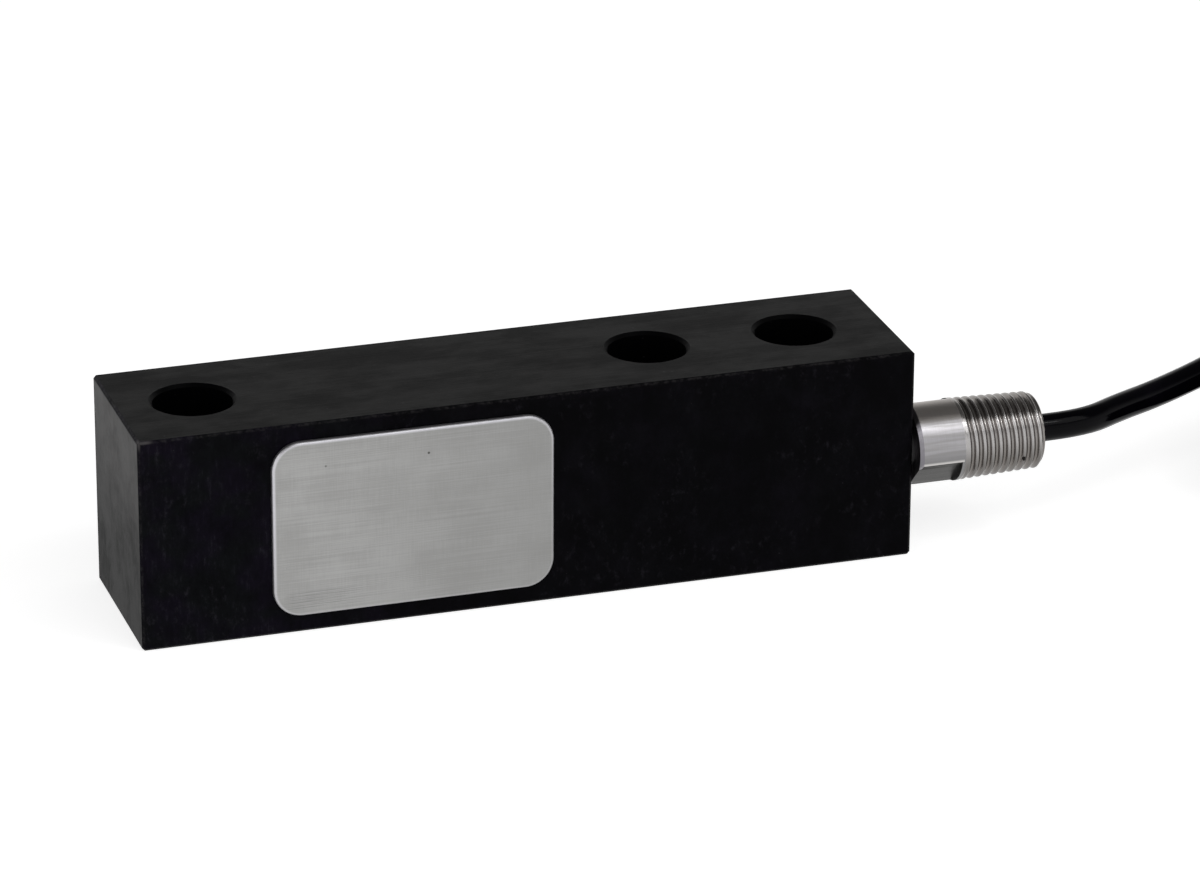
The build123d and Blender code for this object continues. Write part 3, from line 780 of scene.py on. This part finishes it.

# Marks: a scraped band at the lower left, two dots and a few faint ones; and a painted highlight on the rim,
# which is strongest towards the upper left.
scrape_lines = use(tree, brushing, {"Place": place, "Length": 14.0, "Fineness": 0.16})["Streaks"]
scrape = times(
    tree, span(tree, axes["X"], -43.0, -40.0), span(tree, axes["X"], -33.0, -26.0, 1.0, 0.0),
    span(tree, axes["Z"], 4.0, 4.9), span(tree, axes["Z"], 6.8, 8.0, 1.0, 0.0),
    span(tree, scrape_lines, 0.46, 0.62, 0.0, 0.55),
)
sheet = mix(tree, scrape, sheet, (0.150, 0.150, 0.150, 1))
large_mark = span(tree, apart(tree, place, large_dot), 0.12, 0.28, 0.9, 0.0)
small_mark = span(tree, apart(tree, place, small_dot), 0.10, 0.24, 0.6, 0.0)
faint_dots = use(tree, specks, {"Place": place, "Spacing": 6.0, "Radius": 0.14, "Share": 0.25})["Mask"]
dots = calc(tree, "MAXIMUM", calc(tree, "MAXIMUM", small_mark, large_mark), times(tree, faint_dots, 0.35))
sheet = mix(tree, dots, sheet, (0.060, 0.058, 0.055, 1))
# Painted highlight on the rim.
upper_left = span(tree, calc(tree, "MULTIPLY_ADD", axes["X"], -0.4, axes["Z"]), 12, 40, 0.3, 1.0)
rim_highlight = times(tree, span(tree, to_rim, rim_width * 0.5, rim_width * 1.2, 0.6, 0.0), upper_left)
sheet = mix(tree, rim_highlight, sheet, (0.74, 0.73, 0.78, 1))
paint(tree, shader, sheet, span(tree, tone, 0.6, 1.2, 0.34, 0.50))
relief(tree, shader, calc(tree, "MULTIPLY_ADD", crossed, 0.3, brushed), 0.012)
dress("cover_plate", cover_finish)

dress("cover_adhesive", clouded(
    "dark_adhesive_film", {"Specular IOR Level": 0.2}, (2.0, 2.0, 2.0), 4.0,
    colours=((0.010, 0.009, 0.010, 1), (0.030, 0.028, 0.030, 1)), gloss=(0.40, 0.60), depth=0.04,
))


# Gauges: two shear gauges on the web, each an amber film with etched constantan grids, and their three
# enamelled copper leads.
film_finish = clouded(
    "amber_gauge_film", {"Specular IOR Level": 0.5, "Transmission Weight": 0.35}, (2, 2, 2), 3.0,
    colours=((0.56, 0.27, 0.055, 1), (0.68, 0.37, 0.10, 1)), gloss=(0.20, 0.34),
)
foil_finish = clouded(
    "etched_constantan", {"Metallic": 1.0}, (0.3, 0.3, 0.3), 4.0,
    colours=((0.58, 0.46, 0.35, 1), (0.70, 0.57, 0.44, 1)), gloss=(0.25, 0.45),
)
enamel_finish = clouded(
    "enamelled_copper", {"Metallic": 0.6}, (0.8, 0.8, 0.8), 3.0,
    colours=((0.42, 0.16, 0.050, 1), (0.55, 0.24, 0.085, 1)), gloss=(0.20, 0.32),
)
for side in ("front", "rear"):
    dress(side + "_gauge_carrier", film_finish)
    dress(side + "_gauge_grids", foil_finish)
    dress(side + "_gauge_leads", enamel_finish)


# Bridge board: a small green laminate with tinned pads and four glazed trim resistors, glued to the
# pocket's floor. The cable's cores come through the beam's passage and end on its pads.
board_finish, tree, shader = finish("green_laminate", {"Specular IOR Level": 0.4})
place = millimetres(tree)
weave = add(tree, "TexWave", {"Vector": place, "Scale": 0.9, "Distortion": 1.0, "Detail": 2.0}).outputs["Fac"]
laminate_colour = mix(tree, weave, (0.028, 0.13, 0.055, 1), (0.036, 0.17, 0.070, 1))
paint(tree, shader, laminate_colour, span(tree, weave, 0.0, 1.0, 0.30, 0.42))
dress("bridge_board", board_finish)
dress("board_pads", tinned_finish)
dress("trim_resistors", clouded(
    "glazed_chip", {"Specular IOR Level": 0.5}, (0.5, 0.5, 0.5), 3.0,
    colours=((0.020, 0.020, 0.022, 1), (0.036, 0.036, 0.038, 1)), gloss=(0.18, 0.30),
))
for colour, core_finish in core_finishes.items():
    dress("core_" + colour, core_finish)
dress("core_drain", tinned_finish)


# Potting: black polyurethane sealing compound poured flush into the rear pocket, where it has set
# with a faint wave and a few small bubbles.
potting_finish, tree, shader = finish("black_sealing_compound", {"Specular IOR Level": 0.2})
place = millimetres(tree)
wave = grain(tree, place, (8, 8, 8), detail=2.0)
bubbles = use(tree, specks, {"Place": place, "Spacing": 2.2, "Radius": 0.25, "Share": 0.10})["Mask"]
compound_colour = mix(tree, wave, (0.009, 0.009, 0.010, 1), (0.016, 0.016, 0.017, 1))
rough = calc(tree, "ADD", span(tree, wave, 0.3, 0.7, 0.28, 0.40), times(tree, bubbles, 0.2))
paint(tree, shader, compound_colour, rough)
relief(tree, shader, calc(tree, "MULTIPLY_ADD", bubbles, -0.6, wave), 0.12)
dress("rear_potting", potting_finish)


# Floor: a plain pale table. What it sends to the camera, and into metal and gloss, is made up to
# white, and it keeps the object's soft shadow.
reach = 4.0
white = (1, 1, 1, 1)
made_up = 0.76
floor_mesh = bpy.data.meshes.new("table_top")
floor_mesh.from_pydata(
    [(-reach, -reach, 0), (reach, -reach, 0), (reach, reach, 0), (-reach, reach, 0)], [], [(0, 1, 2, 3)]
)
floor = bpy.data.objects.new("table_top", floor_mesh)
scene.collection.objects.link(floor)
floor_finish, tree, shader = finish(
    "pale_table", {"Roughness": 0.9, "Specular IOR Level": 0.0, "Emission Color": white}
)
faint = grain(tree, millimetres(tree), (60, 60, 60), detail=2.0)
tree.links.new(mix(tree, faint, (0.58, 0.58, 0.58, 1), (0.60, 0.60, 0.60, 1)), shader["Base Color"])
rays = add(tree, "LightPath", {}).outputs
seen = calc(tree, "ADD", rays["Is Camera Ray"], rays["Is Glossy Ray"])
seen = calc(tree, "MINIMUM", calc(tree, "ADD", seen, rays["Is Transmission Ray"]), 1.0)
tree.links.new(times(tree, seen, made_up), shader["Emission Strength"])
floor_mesh.materials.append(floor_finish)


# Light: a tent that is white at the horizon and greyer overhead, a broad soft lamp and a small bright
# one over the front of the object, and a soft one to the left of it.
world = bpy.data.worlds.new("light_tent")
scene.world = world
world.use_nodes = True
tree = world.node_tree
tent = tree.nodes["Background"].inputs
raised = split(tree, add(tree, "TexCoord", {}).outputs["Generated"])["Z"]
tree.links.new(span(tree, raised, 0.28, 0.66, 1.0, 0.13), tent["Strength"])
tent["Color"].default_value = white


def soft_lamp(name, place, target, size, radiance):
    """A rectangular lamp at a place, turned to a target. Its power in watts is the radiance times its
    area times pi."""
    data = bpy.data.lights.new(name, "AREA")
    data.shape = "RECTANGLE"
    data.size, data.size_y = size
    data.energy = radiance * size[0] * size[1] * math.pi
    lamp = bpy.data.objects.new(name, data)
    scene.collection.objects.link(lamp)
    lamp.location = place
    lamp.rotation_euler = (Vector(target) - Vector(place)).to_track_quat("-Z", "Y").to_euler()


soft_lamp("front_lamp", (0.42, -0.80, 1.12), (0.03, 0, 0.02), (1.25, 0.85), 1.6)
soft_lamp("small_lamp", (0.58, -0.60, 1.10), (0.08, 0, 0.02), (0.12, 0.12), 15.0)
soft_lamp("left_lamp", (-1.5, -0.3, 0.8), (0, 0, 0.02), (0.8, 0.8), 1.2)

scene.view_settings.view_transform = "Standard"
